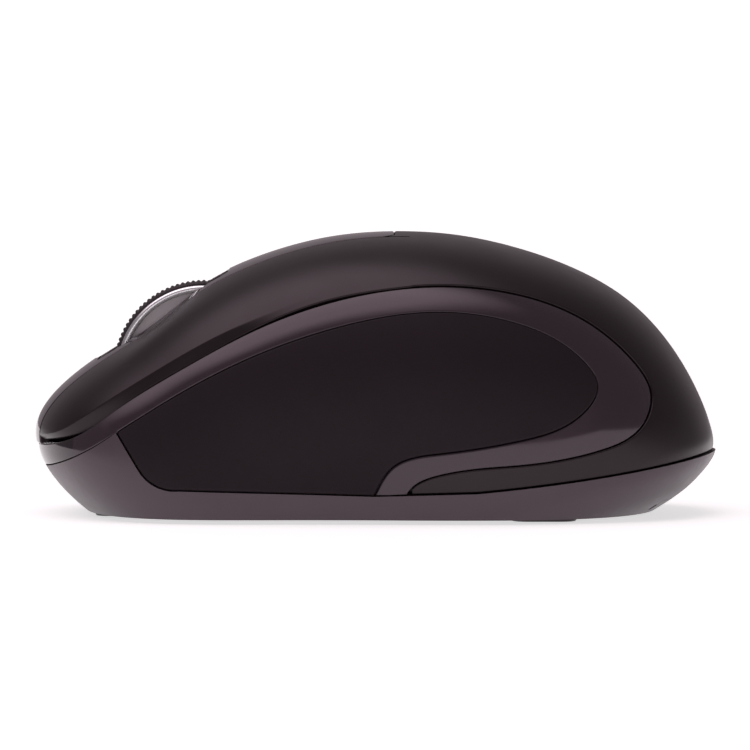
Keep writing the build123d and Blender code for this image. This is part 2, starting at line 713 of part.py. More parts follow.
with BuildPart() as console_root:
    with Locations((0, -1.0, 20.0)):
        Box(9.0, 3.0, 30.0, align=(Align.CENTER, Align.CENTER, Align.MIN))
    add(form_mid.part, mode=Mode.INTERSECT)
    add(form_in.part, mode=Mode.SUBTRACT)

with BuildPart() as console_tongue:
    add(form_wall.part)
    add(form_in.part, mode=Mode.SUBTRACT)
    with Locations((0, -4.5, 20.0)):
        Box(9.0, 9.0, 30.0, align=(Align.CENTER, Align.CENTER, Align.MIN), mode=Mode.INTERSECT)

with BuildPart() as centre_console:
    add(crown_shell.part)
    add(strip_prism.part, mode=Mode.INTERSECT)
    add(console_leg.part)
    add(console_root.part)
    add(console_tongue.part)
    with Locations((0, 38.05, 7.05)):
        Box(6.4, 6.9, 2.8, align=(Align.CENTER, Align.CENTER, Align.MIN))
    with Locations((NOSE_POST[0], NOSE_POST[1], 7.0)):
        Cylinder(0.9, 3.0, align=(Align.CENTER, Align.CENTER, Align.MIN), mode=Mode.SUBTRACT)
    with BuildSketch(Plane.XY.offset(14.0)):
        with Locations((0, SLOT_MID)):
            RectangleRounded(10.2, SLOT_FRONT - SLOT_REAR, 1.4)
    extrude(amount=30.0, mode=Mode.SUBTRACT)
    add(wheel_room.part, mode=Mode.SUBTRACT)
    with BuildSketch(Plane.XY.offset(30.0)):
        with Locations((0, 6.6)):
            SlotOverall(4.6, 1.4, rotation=90)
    extrude(amount=30.0, mode=Mode.SUBTRACT)

with BuildPart() as slot_flange:
    add(form_wall.part)
    add(form_in.part, mode=Mode.SUBTRACT)
    with BuildSketch(Plane.XY.offset(10.0)):
        with Locations((0, SLOT_MID)):
            RectangleRounded(12.4, SLOT_FRONT - SLOT_REAR, 1.4)
            RectangleRounded(8.4, SLOT_FRONT - SLOT_REAR - 2.6, 1.0, mode=Mode.SUBTRACT)
    extrude(amount=40.0, mode=Mode.INTERSECT)

with BuildPart() as slot_bezel:
    add(skin.part.moved(Location((0, -0.15, -0.35))))
    with BuildSketch(Plane.XY.offset(10.0)):
        with Locations((0, SLOT_MID)):
            RectangleRounded(9.9, SLOT_FRONT - SLOT_REAR - 0.3, 1.25)
            RectangleRounded(8.4, SLOT_FRONT - SLOT_REAR - 2.6, 1.0, mode=Mode.SUBTRACT)
    extrude(amount=40.0, mode=Mode.INTERSECT)
    add(slot_flange.part)
    add(wheel_room.part, mode=Mode.SUBTRACT)

with BuildPart() as status_window:
    add(skin.part)
    with BuildSketch(Plane.XY.offset(30.0)):
        with Locations((0, 6.6)):
            SlotOverall(4.5, 1.3, rotation=90)
    extrude(amount=30.0, mode=Mode.INTERSECT)

# ---------------------------------------------------------------- palm cover
EAR = 1.2
COVER_EARS = (9.0, 14.6)
KEY_EARS = (10.3, 13.3)

with BuildSketch() as cover_ear:
    with Locations((HINGE_Y, HINGE_Z)):
        Circle(1.8)
    with Locations((-7.1, HINGE_Z + 8.0)):
        Rectangle(3.8, 16.0)
    with Locations((HINGE_Y, HINGE_Z)):
        Circle(0.84, mode=Mode.SUBTRACT)

with BuildSketch() as key_ear:
    with Locations((HINGE_Y, HINGE_Z)):
        Circle(1.8)
    with Locations((-2.9, HINGE_Z + 8.0)):
        Rectangle(3.8, 16.0)
    with Locations((HINGE_Y, HINGE_Z)):
        Circle(0.84, mode=Mode.SUBTRACT)

with BuildPart() as cover_fittings:
    for x in COVER_EARS:
        with BuildSketch(Plane.YZ.offset(x)):
            add(cover_ear.sketch)
        extrude(amount=EAR)
        with BuildSketch(Plane.YZ.offset(-x - EAR)):
            add(cover_ear.sketch)
        extrude(amount=EAR)
    for x, y in CASE_POSTS:
        with Locations((x, y, BAY_TOP + 0.15)):
            Cylinder(1.9, 14.4, align=(Align.CENTER, Align.CENTER, Align.MIN))
        with Locations((math.copysign(10.5, x), y, 15.5)):
            Box(9.0, 1.6, 10.5, align=(Align.CENTER, Align.CENTER, Align.MIN))
        with Locations((math.copysign(9.8, x), y, 26.0)):
            Box(7.6, 1.6, 20.0, align=(Align.CENTER, Align.CENTER, Align.MIN))
        with Locations((x, y, BAY_TOP)):
            Cylinder(0.9, 5.0, align=(Align.CENTER, Align.CENTER, Align.MIN), mode=Mode.SUBTRACT)
    add(form_mid.part, mode=Mode.INTERSECT)

with BuildPart() as top_cover:
    add(crown_shell.part)
    add(cover_parting.part, mode=Mode.SUBTRACT)
    add(cover_fittings.part)

# ---------------------------------------------------------------- left and right keys
with BuildPart() as key_fittings:
    for x in KEY_EARS:
        with BuildSketch(Plane.YZ.offset(-x - EAR)):
            add(key_ear.sketch)
        extrude(amount=EAR)
    with Locations((-SWITCH_X, PLUNGER_Y, SWITCH_TOP + 0.75)):
        Box(2.6, 2.6, 30.0, align=(Align.CENTER, Align.CENTER, Align.MIN))
    add(form_mid.part, mode=Mode.INTERSECT)

with BuildPart() as left_button:
    add(keys_shell.part)
    add(key_parting.part, mode=Mode.SUBTRACT)
    Box(160, 160, 160, align=(Align.MIN, Align.CENTER, Align.CENTER), mode=Mode.SUBTRACT)
    add(key_fittings.part)

with BuildPart() as right_button:
    add(mirror(left_button.part, about=Plane.YZ))

with BuildPart() as left_pivot_pin:
    with Locations((-12.4, HINGE_Y, HINGE_Z)):
        Cylinder(0.8, 7.0, rotation=(0, 90, 0))

with BuildPart() as right_pivot_pin:
    add(mirror(left_pivot_pin.part, about=Plane.YZ))

# ---------------------------------------------------------------- bands and grips with pegs
with BuildPart() as band_pegs:
    for y, z in BAND_PEGS:
        with Locations((-21.0, y, z)):
            Cylinder(0.6, 6.6, rotation=(0, 90, 0))
    add(form_mid.part, mode=Mode.INTERSECT)

with BuildPart() as grip_pegs:
    for y, z in GRIP_PEGS:
        with Locations((-25.0, y, z)):
            Cylinder(1.2, 6.0, rotation=(0, 90, 0))
    add(form_mid.part, mode=Mode.INTERSECT)

with BuildPart() as left_band_done:
    add(left_band.part)
    add(band_pegs.part)

with BuildPart() as left_grip_done:
    add(left_grip.part)
    add(grip_pegs.part)

with BuildPart() as right_band:
    add(mirror(left_band_done.part, about=Plane.YZ))

with BuildPart() as right_grip:
    add(mirror(left_grip_done.part, about=Plane.YZ))

# ---------------------------------------------------------------- small controls underneath
with BuildPart() as power_switch:
    with Locations((SLIDER[0], SLIDER[1], 2.75)):
        Box(3.4, 7.6, PCB_BOTTOM - 2.75, align=(Align.CENTER, Align.CENTER, Align.MIN))

with BuildPart() as power_slider:
    with Locations((SLIDER[0], SLIDER[1] - 1.3, 0.8)):
        Box(2.6, 3.2, 1.8, align=(Align.CENTER, Align.CENTER, Align.MIN))
    with Locations((SLIDER[0], SLIDER[1] - 1.3, 2.45)):
        Box(4.0, 4.6, 0.24, align=(Align.CENTER, Align.CENTER, Align.MIN))
    with Locations(*[(SLIDER[0], SLIDER[1] - 1.3 + dy, 0.8) for dy in (-0.9, 0.0, 0.9)]):
        Box(2.6, 0.3, 0.5, mode=Mode.SUBTRACT)

with BuildPart() as pairing_switch:
    with Locations((PAIR[0], PAIR[1], 3.1)):
        Box(4.0, 4.0, PCB_BOTTOM - 3.1, align=(Align.CENTER, Align.CENTER, Align.MIN))

with BuildPart() as pairing_button:
    with Locations((PAIR[0], PAIR[1], 0.75)):
        Cylinder(2.0, 2.0, align=(Align.CENTER, Align.CENTER, Align.MIN))
    with Locations((PAIR[0], PAIR[1], 2.45)):
        Cylinder(2.7, 0.3, align=(Align.CENTER, Align.CENTER, Align.MIN))
    fillet(pairing_button.edges().group_by(Axis.Z)[0], radius=0.3)

# ---------------------------------------------------------------- USB receiver in its pocket
with BuildPart() as receiver_cap:
    with Locations((DONGLE[0], DONGLE[1], 0.9)):
        Box(6.1, 13.8, 6.0, align=(Align.CENTER, Align.CENTER, Align.MIN))
    fillet(receiver_cap.edges().filter_by(Axis.Z), radius=1.2)
    fillet(receiver_cap.edges().group_by(Axis.Z)[0], radius=0.5)

with BuildPart() as receiver_plug:
    with Locations((DONGLE[0], DONGLE[1], 6.9)):
        Box(4.5, 12.0, 11.8, align=(Align.CENTER, Align.CENTER, Align.MIN))
    with Locations((DONGLE[0], DONGLE[1], 8.0)):
        Box(3.9, 11.4, 11.8, align=(Align.CENTER, Align.CENTER, Align.MIN), mode=Mode.SUBTRACT)
    with Locations((DONGLE[0] + 0.9, DONGLE[1], 7.5)):
        Box(2.0, 11.2, 10.4, align=(Align.CENTER, Align.CENTER, Align.MIN))

# ---------------------------------------------------------------- glide feet
with BuildPart() as glide_feet:
    with BuildSketch(Plane.XY):
        with Locations((0, 36.3)):
            RectangleRounded(17.0, 5.4, 2.4)
        with Locations((-16.5, -23.2), (16.5, -23.2)):
            RectangleRounded(7.4, 9.0, 2.4)
    extrude(amount=FLOOR_Z)
    chamfer(glide_feet.edges().group_by(Axis.Z)[0], length=0.15)

WHEEL_AT = Location((0, WHEEL_Y, WHEEL_Z))
PIECES = {
    "base_shell": base_shell.part,
    "battery_door": battery_door.part,
    "battery_holder": battery_holder.part,
    "left_battery": left_battery.part,
    "right_battery": right_battery.part,
    "battery_contacts": battery_contacts.part,
    "battery_springs": battery_springs.part,
    "main_board": main_board.part,
    "board_screws": board_screws.part,
    "case_screws": case_screws.part,
    "controller_chip": controller_chip.part,
    "clock_crystal": clock_crystal.part,
    "capacitor": capacitor.part,
    "sensor_chip": sensor_chip.part,
    "sensor_led": sensor_led.part,
    "sensor_lens": sensor_lens.part,
    "left_switch": left_switch.part,
    "left_plunger": left_plunger.part,
    "right_switch": right_switch.part,
    "right_plunger": right_plunger.part,
    "wheel_switch": wheel_switch.part,
    "wheel_plunger": wheel_plunger.part,
    "cradle_spring": cradle_spring.part,
    "wheel_hub": wheel_hub.part.moved(WHEEL_AT),
    "wheel_tyre": wheel_tyre.part.moved(WHEEL_AT),
    "wheel_axle": wheel_axle.part.moved(WHEEL_AT),
    "encoder_rotor": encoder_rotor.part.moved(WHEEL_AT),
    "encoder_housing": encoder_housing.part.moved(WHEEL_AT),
    "wheel_cradle": wheel_cradle.part,
    "centre_console": centre_console.part,
    "slot_bezel": slot_bezel.part,
    "status_window": status_window.part,
    "top_cover": top_cover.part,
    "left_button": left_button.part,
    "right_button": right_button.part,
    "left_pivot_pin": left_pivot_pin.part,
    "right_pivot_pin": right_pivot_pin.part,
    "nose_trim": nose_trim.part,
    "left_band": left_band_done.part,
    "right_band": right_band.part,
    "left_grip": left_grip_done.part,
    "right_grip": right_grip.part,
    "power_switch": power_switch.part,
    "power_slider": power_slider.part,
    "pairing_switch": pairing_switch.part,
    "pairing_button": pairing_button.part,
    "receiver_cap": receiver_cap.part,
    "receiver_plug": receiver_plug.part,
    "glide_feet": glide_feet.part,
}
for name, piece in PIECES.items():
    piece.label = name
    export_step(piece, f"parts/{name}.step")
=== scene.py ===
import json
import math

import bpy
import numpy as np
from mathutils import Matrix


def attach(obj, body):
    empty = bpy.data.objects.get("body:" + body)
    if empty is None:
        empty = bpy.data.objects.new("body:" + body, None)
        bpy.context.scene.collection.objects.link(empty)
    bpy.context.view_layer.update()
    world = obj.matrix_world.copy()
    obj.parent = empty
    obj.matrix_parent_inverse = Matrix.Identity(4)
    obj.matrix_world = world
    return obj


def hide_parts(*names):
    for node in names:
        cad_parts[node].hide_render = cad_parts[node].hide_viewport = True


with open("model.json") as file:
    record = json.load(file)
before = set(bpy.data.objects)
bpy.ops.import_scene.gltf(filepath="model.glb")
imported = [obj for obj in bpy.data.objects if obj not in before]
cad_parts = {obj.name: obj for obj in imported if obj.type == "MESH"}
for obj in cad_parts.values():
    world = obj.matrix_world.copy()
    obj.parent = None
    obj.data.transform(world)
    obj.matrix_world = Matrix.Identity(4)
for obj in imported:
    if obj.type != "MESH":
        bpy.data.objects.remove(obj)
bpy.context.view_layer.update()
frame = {"nodes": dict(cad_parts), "record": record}

# The outer covers of the mouse are rebuilt here as closed skins with rolled edges, on the same
# form as the CAD shells.  Lengths are millimetres until a mesh is made, which is in metres.
# +Y is the nose, +X the user's right, +Z up.
MM = 0.001
X, Y, Z = 0, 1, 2
SEAM = 0.12              # gap between neighbouring covers
KEY_SEAM = 0.16          # gap between a key and the console
ROLL = 0.2               # radius of a rolled edge
GRIP_ROLL = 0.32
BY_GRIP_ROLL = 0.28
GRIP_FOOT_ROLL = 0.4
SLOT_ROLL = 0.25
RING_ROLL = 0.3
WINDOW_ROLL = 0.1
WALL = 1.6               # thickness of a skin
KEY_WALL = 1.0
THINNEST = 0.2           # what a dip leaves of that thickness

STRIP_HALF = 7.6         # console, half width at the nose
TAIL_HALF = 6.3          # and at its rear end
TAIL_ROUND = 2.0
TAIL_Y = -2.6
HINGE_Y = -5.0           # keys end and palm cover starts
TONGUE_HALF = 6.24       # tongue of the palm cover between the keys
TONGUE_END_Y = -12.0
NOSE_CUT = 41.8          # side bands end and nose trim starts
BEZEL_FLOOR = 15.0

# the form: a fan of half-outlines about a hub line, see form()
HUB_Z = -4.0
FULL_HALF = 29.6
FULLNESS, FULLER_UP, FULLER_FORE = 3.7, 0.7, 0.55
WAIST, WAIST_Y, WAIST_REACH = 0.055, 9, 17
FOOT_SHARE, FLARE_SHARE, FLARE_HEIGHT = 0.92, 0.10, 24
CELLS_ACROSS = 150
CELLS_ALONG = 300
POLE = 0.955             # the grid stops short of the two poles of the fan

# side outlines, (y, z)
PROFILE = [
    (33.0, -4.0), (40.5, 0.7), (43.6, 3.5), (46.1, 6.8), (47.3, 9.6), (47.4, 12.6),
    (46.2, 15.2), (43.1, 18.6), (36.3, 23.9), (29.6, 29.0), (22.3, 33.3), (13.9, 36.7),
    (5.5, 38.7), (-2.9, 39.3), (-11.2, 38.8), (-19.7, 37.0), (-28.0, 34.0), (-35.0, 29.9),
    (-40.6, 24.2), (-44.7, 17.5), (-46.9, 12.2), (-47.5, 8.9), (-46.3, 6.6), (-43.3, 3.5),
    (-39.0, 0.6), (-32.0, -4.0),
]
BAND_TOP = [
    (56.0, 8.8), (46.4, 10.1), (41.8, 11.7), (36.3, 15.4), (27.4, 21.0), (16.1, 27.0),
    (4.9, 30.9), (-6.2, 32.6), (-17.4, 31.9), (-27.5, 28.6), (-35.6, 22.2), (-38.2, 17.2),
    (-36.6, 12.9), (-31.3, 10.1), (-20.1, 8.1), (-9.0, 6.8), (-4.6, 4.6), (-4.0, 0.0),
]
GRIP_TOP = [
    (35.7, 12.5), (27.4, 17.7), (16.1, 23.4), (4.9, 27.2), (-9.0, 29.2), (-20.1, 27.4),
    (-28.6, 22.4), (-30.6, 18.8), (-28.3, 15.0), (-20.1, 11.6), (-9.0, 9.8), (-2.2, 7.8),
    (0.2, 4.0),
]
CREASE = [
    (50.0, 10.6), (46.4, 11.4), (44.1, 12.1), (41.8, 13.4), (39.6, 14.9), (35.7, 17.5),
    (30.1, 21.0), (24.5, 24.3), (18.9, 27.1), (14.2, 29.0), (6.0, 31.9), (-8.0, 34.6),
]
# A key clears the band by this much, and more towards the nose, where it dips furthest.
KEY_GAP, KEY_DIP = 0.06, 0.0094
KEY_ROOM = [(y, z + KEY_GAP + max(0.0, y - HINGE_Y) * KEY_DIP) for y, z in BAND_TOP[:8]]
DEEP, DEEPEST = -12.0, -30.0      # below everything
FRONT, BACK = 62.0, -56.0         # past the nose and the tail

# wheel
WHEEL_Y, WHEEL_Z = 24.0, 19.8
RIDGES = 104
STEPS_PER_RIDGE = 8
NOTCH = 0.19             # depth between ridges
RIDGE_EDGE = 2.0         # how square the ridges are
TYRE_HALF, TREAD_HALF = 2.6, 2.1
TREAD_RADIUS, TREAD_CROWN = 12.70, 0.016
BEAD_X, BEAD_AT, BEAD_RADIUS = 3.03, 11.62, 0.46
BEAD_TURNS, BEAD_STEPS = 144, 20
PLATED_FROM = 11.35      # hub rim is plated outside this radius


# ---------------------------------------------------------------- curves and regions
def spline(points):
    # cubic spline through the points; returns a function of 0..1
    p = np.array(points, float)
    t = np.concatenate([[0.0], np.cumsum(np.linalg.norm(np.diff(p, axis=0), axis=1))])
    n = len(p)
    h = np.diff(t)
    a = np.zeros((n, n))
    r = np.zeros((n, 2))
    a[0, 0] = a[-1, -1] = 1.0
    for i in range(1, n - 1):
        a[i, i - 1:i + 2] = h[i - 1], 2 * (h[i - 1] + h[i]), h[i]
        r[i] = 6 * ((p[i + 1] - p[i]) / h[i] - (p[i] - p[i - 1]) / h[i - 1])
    m = np.linalg.solve(a, r)

    def at(u):
        s = np.asarray(u, float) * t[-1]
        k = np.clip(np.searchsorted(t, s, side="right") - 1, 0, n - 2)
        lo = ((t[k + 1] - s) / h[k])[:, None]
        hi = ((s - t[k]) / h[k])[:, None]
        g = (h[k] ** 2 / 6)[:, None]
        return lo * p[k] + hi * p[k + 1] + g * ((lo**3 - lo) * m[k] + (hi**3 - hi) * m[k + 1])

    return at


def traced(points, count):
    # evenly spaced points on the spline
    return [tuple(p) for p in spline(points)(np.linspace(0, 1, count))]


def arc(a, b, c, count):
    # points on the circle through three points, from a to c
    (ax, ay), (bx, by), (cx, cy) = a, b, c
    d = 2 * (ax * (by - cy) + bx * (cy - ay) + cx * (ay - by))
    sa, sb, sc = ax * ax + ay * ay, bx * bx + by * by, cx * cx + cy * cy
    ox = (sa * (by - cy) + sb * (cy - ay) + sc * (ay - by)) / d
    oy = (sa * (cx - bx) + sb * (ax - cx) + sc * (bx - ax)) / d
    radius = math.hypot(ax - ox, ay - oy)
    t0 = math.atan2(ay - oy, ax - ox)
    tm = math.atan2(by - oy, bx - ox)
    t1 = math.atan2(cy - oy, cx - ox)
    tm = t0 + (tm - t0 + math.pi) % (2 * math.pi) - math.pi
    t1 = tm + (t1 - tm + math.pi) % (2 * math.pi) - math.pi
    return round_points(ox, oy, radius, t0, t1, count)


def round_points(cx, cy, radius, start, end, count):
    angles = [start + (end - start) * i / count for i in range(count + 1)]
    return [(cx + radius * math.cos(t), cy + radius * math.sin(t)) for t in angles]


def rounded_box(cx, cy, wide, tall, radius, count=8):
    out = []
    for sx, sy, start in ((1, 1, 0), (-1, 1, 90), (-1, -1, 180), (1, -1, 270)):
        ox, oy = cx + sx * (wide / 2 - radius), cy + sy * (tall / 2 - radius)
        turn = math.radians(start)
        out += round_points(ox, oy, radius, turn, turn + math.pi / 2, count)
    return out


def region(outline):
    # field(points) gives the distance inside the closed outline (negative outside)
    # and the direction in which it grows
    a = np.array(outline, float)
    b = np.roll(a, -1, axis=0)
    ab = b - a
    length2 = np.maximum((ab**2).sum(1), 1e-12)
    rise = np.where(np.abs(ab[:, 1]) < 1e-12, 1e-12, ab[:, 1])
    batch = 4000

    def field(q):
        value = np.empty(len(q))
        grow = np.empty((len(q), 2))
        for i in range(0, len(q), batch):
            c = q[i:i + batch]
            ap = c[:, None, :] - a[None]
            t = np.clip((ap * ab[None]).sum(2) / length2[None], 0, 1)
            near = a[None] + t[..., None] * ab[None]
            gap = c[:, None, :] - near
            d2 = (gap**2).sum(2)
            k = d2.argmin(1)
            rows = np.arange(len(c))
            d = np.sqrt(d2[rows, k])
            away = gap[rows, k] / np.maximum(d, 1e-9)[:, None]
            above_a = a[None, :, 1] > c[:, None, 1]
            above_b = b[None, :, 1] > c[:, None, 1]
            cross_x = a[None, :, 0] + (c[:, None, 1] - a[None, :, 1]) * (ab[:, 0] / rise)[None]
            hits = ((above_a != above_b) & (c[:, None, 0] < cross_x)).sum(1)
            sign = np.where(hits % 2 == 1, 1.0, -1.0)
            value[i:i + batch] = d * sign
            grow[i:i + batch] = away * sign[:, None]
        return value, grow

    return field


# side regions, (y, z)
base_curve = (
    arc((BACK, 10.6), (-31.3, 6.3), (-14.0, 4.3), 40)
    + [(0.2, 3.9), (27.0, 4.6)]
    + arc((27.0, 4.6), (30.8, 5.5), (32.6, 7.4), 10)
    + arc((35.7, 12.5), (45.2, 7.2), (57.0, 4.6), 30)
)
room_curve = traced(KEY_ROOM, 160)
IN_BAND = region(traced(BAND_TOP, 260) + [(-4.0, DEEP), (FRONT, DEEP), (FRONT, 8.8)])
IN_GRIP = region(traced(GRIP_TOP, 200) + [(0.2, DEEP), (35.7, DEEP)])
IN_BASE = region(base_curve + [(57.0, DEEP), (BACK, DEEP)])
IN_ROOM = region(room_curve + [(-6.2, DEEP), (FRONT, DEEP), (FRONT, room_curve[0][1])])
UNDER_CREASE = region(traced(CREASE, 160) + [(-8.0, DEEPEST), (50.0, DEEPEST)])

# plan regions, (x, y)
nose_strip = [(STRIP_HALF, 20.0), (STRIP_HALF, 60.0), (-STRIP_HALF, 60.0), (-STRIP_HALF, 20.0)]
strip_tail = []
for sx, start in ((-1, 180), (1, 270)):
    turn = math.radians(start)
    strip_tail += round_points(sx * (TAIL_HALF - TAIL_ROUND), TAIL_Y + TAIL_ROUND, TAIL_ROUND,
                               turn, turn + math.pi / 2, 8)
IN_STRIP = region(strip_tail + nose_strip)
IN_PARTING = region(
    [(-TAIL_HALF, DEEP), (TAIL_HALF, DEEP), (TAIL_HALF, TAIL_Y)] + nose_strip
    + [(-TAIL_HALF, TAIL_Y)])
IN_SLOT = region(rounded_box(0, 29.85, 10.2, 18.5, 1.4))
IN_RING = region(rounded_box(0, 29.85, 9.9, 18.2, 1.25))
IN_OPENING = region(rounded_box(0, 29.85, 8.4, 15.9, 1.0))
IN_WINDOW = region(rounded_box(0, 6.6, 1.4, 4.6, 0.69))


# ---------------------------------------------------------------- the outer form
profile = spline(PROFILE)
span = np.linspace(0, 1, 4001)
lengths = np.linalg.norm(np.diff(profile(span), axis=0), axis=1)
lengths = np.concatenate([[0.0], np.cumsum(lengths)])
lengths /= lengths[-1]


def ease(t):
    t = np.clip(t, 0.0, 1.0)
    return t * t * (3 - 2 * t)


def form(side, along):
    # a point of the form: side -1..1 from the left pole to the right one, along 0..1 on PROFILE
    rim = profile(along)
    angle = np.arctan2(rim[:, 1] - HUB_Z, rim[:, 0])
    fullness = FULLNESS + FULLER_UP * np.sin(angle) ** 2 + FULLER_FORE * np.cos(angle)
    ring = np.cos(np.abs(side) * math.pi / 2)
    y = ring * rim[:, 0]
    z = HUB_Z + ring * (rim[:, 1] - HUB_Z)
    waist = 1 - WAIST * np.exp(-(((y - WAIST_Y) / WAIST_REACH) ** 2))
    tuck = FOOT_SHARE + FLARE_SHARE * ease(z / FLARE_HEIGHT)
    half = FULL_HALF * waist * tuck
    x = half * np.sqrt(np.maximum(1 - ring**fullness, 0)) * np.sign(side)
    return np.stack([x, y, z], 1)


def form_normal(side, along):
    e = 4e-4
    ds = form(side + e, along) - form(side - e, along)
    dv = form(side, np.minimum(along + e, 1)) - form(side, np.maximum(along - e, 0))
    n = np.cross(ds, dv)
    n /= np.maximum(np.linalg.norm(n, axis=1), 1e-12)[:, None]
    return n


grid_s = np.linspace(-POLE, POLE, CELLS_ACROSS + 1)
grid_v = np.interp(np.linspace(0, 1, CELLS_ALONG + 1), lengths, span)
GRID = np.stack(np.meshgrid(grid_s, grid_v, indexing="ij"), -1).reshape(-1, 2)
GRID_POINT = form(GRID[:, 0], GRID[:, 1])
GRID_NORMAL = form_normal(GRID[:, 0], GRID[:, 1])
summit = int(np.argmax(GRID_POINT[:, Z]))
FLIP = GRID_NORMAL[summit, Z] < 0
if FLIP:
    GRID_NORMAL = -GRID_NORMAL
down = CELLS_ALONG + 1
QUADS = []
for i in range(CELLS_ACROSS):
    for j in range(CELLS_ALONG):
        q = (i * down + j, (i + 1) * down + j, (i + 1) * down + j + 1, i * down + j + 1)
        QUADS.append(q[::-1] if FLIP else q)
QUADS = np.array(QUADS)


# ---------------------------------------------------------------- where a skin ends
# A measure takes points and normals of the form.  It gives the distance inside one edge of
# the piece, measured along the surface, and the direction in which that distance grows.
def along_surface(value, grow, normal):
    flat = grow - (grow * normal).sum(1)[:, None] * normal
    size = np.maximum(np.linalg.norm(flat, axis=1), 0.25)
    return value / size, flat / size[:, None]


def seen_from_side(field, point, normal, sign=1, gap=0.0):
    value, grow = field(point[:, 1:3])
    grow3 = np.concatenate([np.zeros((len(value), 1)), sign * grow], 1)
    return along_surface(sign * value - gap, grow3, normal)


def side_view(field, sign, gap):
    def measure(point, normal):
        return seen_from_side(field, point, normal, sign, gap)
    return measure


def plan_view(field, sign, gap):
    def measure(point, normal):
        value, grow = field(point[:, :2])
        grow3 = np.concatenate([sign * grow, np.zeros((len(value), 1))], 1)
        return along_surface(sign * value - gap, grow3, normal)
    return measure


def plane(axis, at, sign):
    def measure(point, normal):
        grow = np.zeros_like(point)
        grow[:, axis] = sign
        return along_surface(sign * (point[:, axis] - at), grow, normal)
    return measure


def behind_hinge(point, normal):
    # the palm cover: everything behind the hinge line, and the tongue between the keys
    back = HINGE_Y - point[:, Y]
    tongue = np.minimum(TONGUE_HALF - np.abs(point[:, X]), point[:, Y] - TONGUE_END_Y)
    grow = np.zeros_like(point)
    in_back = back >= tongue
    grow[in_back, Y] = -1.0
    grow[~in_back, X] = -np.sign(point[~in_back, X])
    return along_surface(np.maximum(back, tongue), grow, normal)


# ---------------------------------------------------------------- dips in a skin
def skirt_sink(point, normal):
    # the lower lip of the keys turns in below a crease that fades towards the hinge
    value, grow = seen_from_side(UNDER_CREASE, point, normal)
    slope = 0.64 * ease((point[:, Y] - 6) / 20) + 0.34 * ease((point[:, Y] - 30) / 10)
    soft = 0.09
    under = np.maximum(value, 0)
    root = np.sqrt(under**2 + soft**2)
    sink = slope * (root - soft)
    return sink, grow * (slope * under / root)[:, None]


def finger_dish(point):
    # keys and console dip beside the scroll wheel
    depth, dish_y, length, flat_half, fade = 0.85, 31.0, 6.0, 6.5, 9.0
    across = 1 - ease((np.abs(point[:, X]) - flat_half) / fade)
    return depth * np.exp(-(((point[:, Y] - dish_y) / length) ** 2)) * across


def bezel_dish(point):
    # the slot's rim lies this much below the console
    return finger_dish(point) + 0.3


def lean_of(recess, point, normal):
    # how far a recess tilts the surface, from its slope
    step = 0.05
    grow = np.zeros_like(point)
    for axis in range(3):
        shift = np.zeros(3)
        shift[axis] = step
        grow[:, axis] = (recess(point + shift) - recess(point - shift)) / (2 * step)
    return grow - (grow * normal).sum(1)[:, None] * normal


# ---------------------------------------------------------------- skins
ROLL_LINES = (0.0, 0.15, 0.45, 1.0)          # mesh lines across a rolled edge, shares of it
CREASE_LINES = (-0.05, 0.08, 0.22, 0.5)      # mesh lines along the crease, distances from it
ON_LINE = 1e-9


def unit(vectors):
    return vectors / np.linalg.norm(vectors, axis=1)[:, None]


def add_piece(name, points, faces, material, body, slot, replaced=None):
    mesh = bpy.data.meshes.new(name)
    mesh.from_pydata([tuple(p) for p in np.array(points) * MM], [], faces)
    mesh.polygons.foreach_set("use_smooth", [True] * len(mesh.polygons))
    mesh.materials.append(material)
    piece = bpy.data.objects.new(name, mesh)
    bpy.context.scene.collection.objects.link(piece)
    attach(piece, body)
    if replaced:
        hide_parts(replaced)
    return mesh


def split_at(polys, params, values, k, level, trim):
    # split the polygons where field k crosses the level; a trim drops what lies below it
    made = {}
    result = []
    for poly in polys:
        f = [values[v][k] - level for v in poly]
        if min(f) >= -ON_LINE:
            result.append(poly)
            continue
        if max(f) <= ON_LINE:
            if not trim:
                result.append(poly)
            continue
        above, below = [], []
        for i, v in enumerate(poly):
            w = poly[(i + 1) % len(poly)]
            fv, fw = f[i], f[(i + 1) % len(poly)]
            if fv >= -ON_LINE:
                above.append(v)
            if fv <= ON_LINE:
                below.append(v)
            if (fv > ON_LINE and fw < -ON_LINE) or (fv < -ON_LINE and fw > ON_LINE):
                key = (min(v, w), max(v, w))
                if key not in made:
                    made[key] = len(params)
                    add_crossing(params, values, key, k, level)
                above.append(made[key])
                below.append(made[key])
        if len(above) > 2:
            result.append(above)
        if len(below) > 2 and not trim:
            result.append(below)
    return result


def add_crossing(params, values, edge, k, level):
    a, b = edge
    fa, fb = values[a][k] - level, values[b][k] - level
    t = fa / (fa - fb)
    pa, pb = params[a], params[b]
    mixed = values[a] + t * (values[b] - values[a])
    mixed[k] = level
    params.append((pa[0] + t * (pb[0] - pa[0]), pa[1] + t * (pb[1] - pa[1])))
    values.append(mixed)


